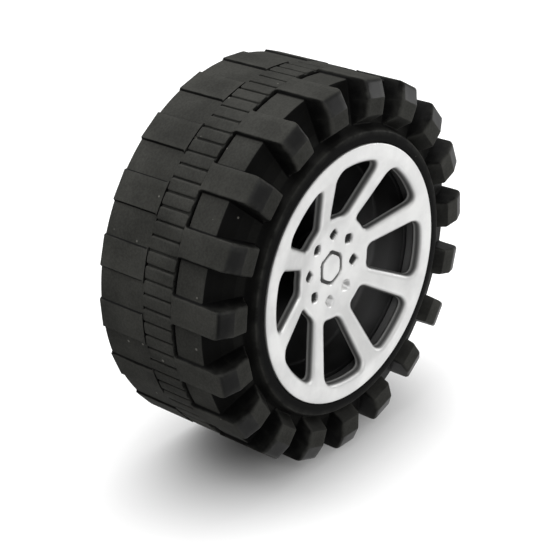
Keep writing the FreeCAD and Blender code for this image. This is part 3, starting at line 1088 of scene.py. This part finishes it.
    def sunk(self, x: Array, z: Array) -> tuple[Array, Array]:
        """Depth and shade of the hub's recesses at a place on its face.

        A nut recess is a four-sided pit that stands on a soft corner: its depth grows with the distance
        inside |u|^power + |v|^power = reach^power about its centre. The hexagon's groove lies just outside
        the line where the power sum of the three distances across opposite flats is constant, which rounds
        its corners.

        Args:
            x: Places across.
            z: Places upwards.

        Returns:
            Depth in millimetres and painted shade from 0 to 1.
        """
        angle = np.degrees(np.arctan2(x, z)) - self.first
        step = 360 / self.spokes
        cell = np.round(angle / step)
        angle = np.radians(angle - cell * step)
        radius = np.hypot(x, z)
        u, v = radius * np.sin(angle), radius * np.cos(angle) - self.nut_circle
        away = (np.abs(u) ** self.nut_power + np.abs(v) ** self.nut_power) ** (1 / self.nut_power)
        nut = np.clip((self.nut_reach - away) / self.nut_slope, 0, 1)
        shades = np.array(self.nut_shades)[cell.astype(int) % self.spokes]
        turns = np.radians(self.hex_turns)[:, None, None]
        flats = np.abs(x * np.sin(turns) + z * np.cos(turns)) ** self.hex_power
        across = flats.sum(axis=0) ** (1 / self.hex_power) - self.hex_flat
        groove = np.clip(np.minimum(across, self.hex_groove - across) / self.hex_wall, 0, 1)
        # Painted shade: the pits and the hexagon's groove are painted dark, each pit by its own share.
        shade = np.clip((nut - self.nut_lip) / self.nut_lip, 0, 1) * shades + groove * self.hex_shade
        return nut * self.nut_depth + groove * self.hex_depth, shade

    def hub(self, shell: Shell) -> None:
        """Add the hub's face with its recesses, its back and the peg behind it, each closed on the axle.

        Args:
            shell: Where the grids go.
        """
        angles = self.side_angles(0)
        radii = np.concatenate([np.linspace(*band) for band in self.hub_bands])
        face = revolve(np.stack([radii, self.level(self.front, radii)], axis=1), angles)
        depth, shade = self.sunk(face[..., 0], face[..., 2])
        face[..., 1] += depth
        shell.add(face, wrap_columns=True, tone=shade)
        behind = [(self.cell_in, self.level(self.back, self.cell_in), 0), *self.peg]
        shell.add(revolve(self.peg_steps.path(behind, closed=False), angles), wrap_columns=True, tone=1.0)

    def rim(self, shell: Shell) -> None:
        """Add the flat rim, its outer edge and the skirt behind it, carried round the axle.

        Args:
            shell: Where the grid goes.
        """
        corners = [(self.front_out, self.front[-1][1], 0), *self.skirt, (self.back_out, self.skirt_end, 0.1),
                   (self.back_out, self.back[-1][1], 0)]
        profile = self.skirt_steps.path(corners, closed=False)
        from_edge = np.hypot(*(profile - np.array(self.rim_edge)).T)[:, None]
        thin = self.rim_thin * np.exp(-(from_edge / self.rim_reach) ** 2)
        angles = self.side_angles(2)
        # Painted shade: the rim's outer side wall and the skirt behind it are dark and not metal; painted
        # light makes the skirt paler in the lit sector.
        not_metal = np.clip((profile[:, 1:] - self.rim_edge[1]) / self.rim_fade, 0, 1)
        tone = not_metal * (1 - self.lit_share * lit_sector(angles)[None, :])
        shell.add(revolve(profile, angles), wrap_columns=True, wear=thin, tone=tone)

    def build(self, material: Material) -> None:
        """Build the cap as one shell and dress it in plating.

        Args:
            material: The plating.
        """
        shell = Shell("cap_face")
        for copy in turn(self.cell(), even_angles(self.spokes, self.first)):
            shell.add(copy, wrap_columns=True, wear=np.array(self.cell_wear)[:, None],
                      tone=np.array(self.cell_tone)[:, None])
        self.hub(shell)
        self.rim(shell)
        dress(shell.build(), material, Node.CAP, Slot.PLATING)


# Studio


@dataclass(frozen=True)
class Lamp:
    """Square soft lamp that looks at the wheel, in metres and watts."""

    name: str
    place: Place
    size: float
    power: float

    def hang(self) -> None:
        """Hang the lamp, out of the camera's sight."""
        light = bpy.data.lights.new(self.name, "AREA")
        light.shape = "SQUARE"
        light.size = self.size
        light.energy = self.power
        lamp = bpy.data.objects.new(self.name, light)
        bpy.context.scene.collection.objects.link(lamp)
        lamp.location = self.place
        lamp.rotation_euler = Vector(self.place).to_track_quat("Z", "Y").to_euler()
        lamp.visible_camera = False


@dataclass
class Studio:
    """Pale floor, soft lamps, white surroundings and the camera, in metres.

    The floor's glow goes from its first strength to its second between the glow's two radii, counted from its
    centre after its shape has scaled the place; the dim oval this leaves round the wheel's foot is a painted
    shadow. The mirrored floor goes from black to white between two x, a painted reflection for glossy rays.
    """

    floor_level: float = -0.02394
    floor_half: float = 1.5
    floor_points: int = 9
    floor_colour: Colour = (0.55, 0.55, 0.55)
    floor_glow: Pair = (0.01, 0.72)
    shadow_oval_centre: Place = (-0.0018, 0.0, -0.02394)
    shadow_oval_shape: Place = (0.56, 1.0, 1.0)
    shadow_oval_radii: Pair = (0.0015, 0.0238)
    mirrored_floor: Pair = (-0.075, 0.020)
    mirrored_sky: float = 0.35
    sky: float = 0.10
    azimuth: float = -49.715
    elevation: float = 24.806
    roll: float = -0.089
    eye: Place = (-0.13083, -0.10820, 0.07564)
    lens: float = 97.83
    sensor: float = 36.0
    nearest: float = 0.005
    lamps: tuple[Lamp, ...] = (Lamp("key", (-0.20, -0.44, 0.34), 0.75, 1.4),
                               Lamp("top", (-0.03, 0.30, 0.60), 0.90, 6.4),
                               Lamp("edge", (0.062, -0.043, 0.026), 0.04, 0.014))

    def floor(self) -> None:
        """Lay a flat floor under the wheel."""
        steps = np.linspace(-1, 1, self.floor_points) * self.floor_half / MILLIMETRE
        x, y = np.meshgrid(steps, steps)
        shell = Shell("floor")
        shell.add(np.stack([x, y, np.full_like(x, self.floor_level / MILLIMETRE)], axis=-1))
        ground = shell.build()
        if ground.data.polygons[0].normal.z < 0:
            ground.data.flip_normals()
        ground.data.materials.append(self.floor_card())

    def floor_card(self) -> Material:
        """Pale card that takes the wheel's shadow.

        Camera rays also see a glow that makes the card white, and that fades out in an oval round the wheel's
        foot:
        a painted shadow there, over the card's real shadow. Glossy rays see the card black on one side and
        white on the other, a painted reflection.

        Returns:
            The material.
        """
        material = bpy.data.materials.new("floor_card")
        nodes = Nodes.emptied(material)
        path = nodes.add("LightPath")
        place = nodes.place()
        oval = nodes.add("VectorMath", {"operation": "MULTIPLY"}, {0: place, 1: self.shadow_oval_shape})
        gap = nodes.add("VectorMath", {"operation": "DISTANCE"}, {0: oval[0], 1: self.shadow_oval_centre})
        low, high = self.floor_glow
        bright = nodes.math("MULTIPLY", nodes.ramp(gap["Value"], *self.shadow_oval_radii), high - low)
        seen = nodes.math("MULTIPLY", path["Is Camera Ray"], nodes.math("ADD", bright, low))
        card = nodes.add("BsdfDiffuse", Color=self.floor_colour)
        glow = nodes.add("Emission", Strength=seen)
        lit = nodes.add("AddShader", at={0: card[0], 1: glow[0]})
        across = nodes.add("SeparateXYZ", Vector=place)["X"]
        shown = nodes.add("Emission", Strength=nodes.ramp(across, *self.mirrored_floor))
        either = nodes.add("MixShader", at={0: path["Is Glossy Ray"], 1: lit[0], 2: shown[0]})
        nodes.add("OutputMaterial", Surface=either[0])
        return material

    def surroundings(self) -> None:
        """Light from all round at a plain level, which the camera sees as white and the plating as grey."""
        world = bpy.data.worlds.new("studio")
        bpy.context.scene.world = world
        nodes = Nodes.emptied(world)
        path = nodes.add("LightPath")
        seen = nodes.math("MAXIMUM", path["Is Camera Ray"], path["Is Transmission Ray"])
        mirrored = nodes.math("MULTIPLY", path["Is Glossy Ray"], self.mirrored_sky)
        level = nodes.math("MAXIMUM", nodes.math("MAXIMUM", seen, mirrored), self.sky)
        back = nodes.add("Background", Color=WHITE, Strength=level)
        nodes.add("OutputWorld", Surface=back[0])

    def camera(self) -> None:
        """Set the camera at the photo's place: right, up and back directions from azimuth and elevation."""
        a, e, roll = (math.radians(angle) for angle in (self.azimuth, self.elevation, self.roll))
        level = Vector((math.cos(a), math.sin(a), 0))
        back = Vector((math.sin(a) * math.cos(e), -math.cos(a) * math.cos(e), math.sin(e)))
        right = level * math.cos(roll) + back.cross(level) * math.sin(roll)
        up = back.cross(right)
        data = bpy.data.cameras.new("camera")
        data.sensor_width = self.sensor
        data.lens = self.lens
        data.clip_start = self.nearest
        eye = bpy.data.objects.new("camera", data)
        bpy.context.scene.collection.objects.link(eye)
        turned = Matrix((right, up, back)).transposed().to_4x4()
        eye.matrix_world = Matrix.Translation(Vector(self.eye)) @ turned
        bpy.context.scene.camera = eye

    def build(self) -> None:
        """Set up the floor, the surroundings, the lamps and the camera."""
        self.floor()
        self.surroundings()
        for lamp in self.lamps:
            lamp.hang()
        self.camera()
        bpy.context.scene.view_settings.view_transform = "Standard"


def main() -> None:
    """Build the tyre, the core, the cap and the studio in order."""
    logging.basicConfig(level=logging.INFO, format="%(name)s: %(message)s")
    effects = Effects()
    Tyre().build(RUBBER.build(effects))
    Core().build(PLASTIC.build(effects))
    SpokeCap().build(PLATING.build(effects))
    Studio().build()


if __name__ == "__main__":
    main()
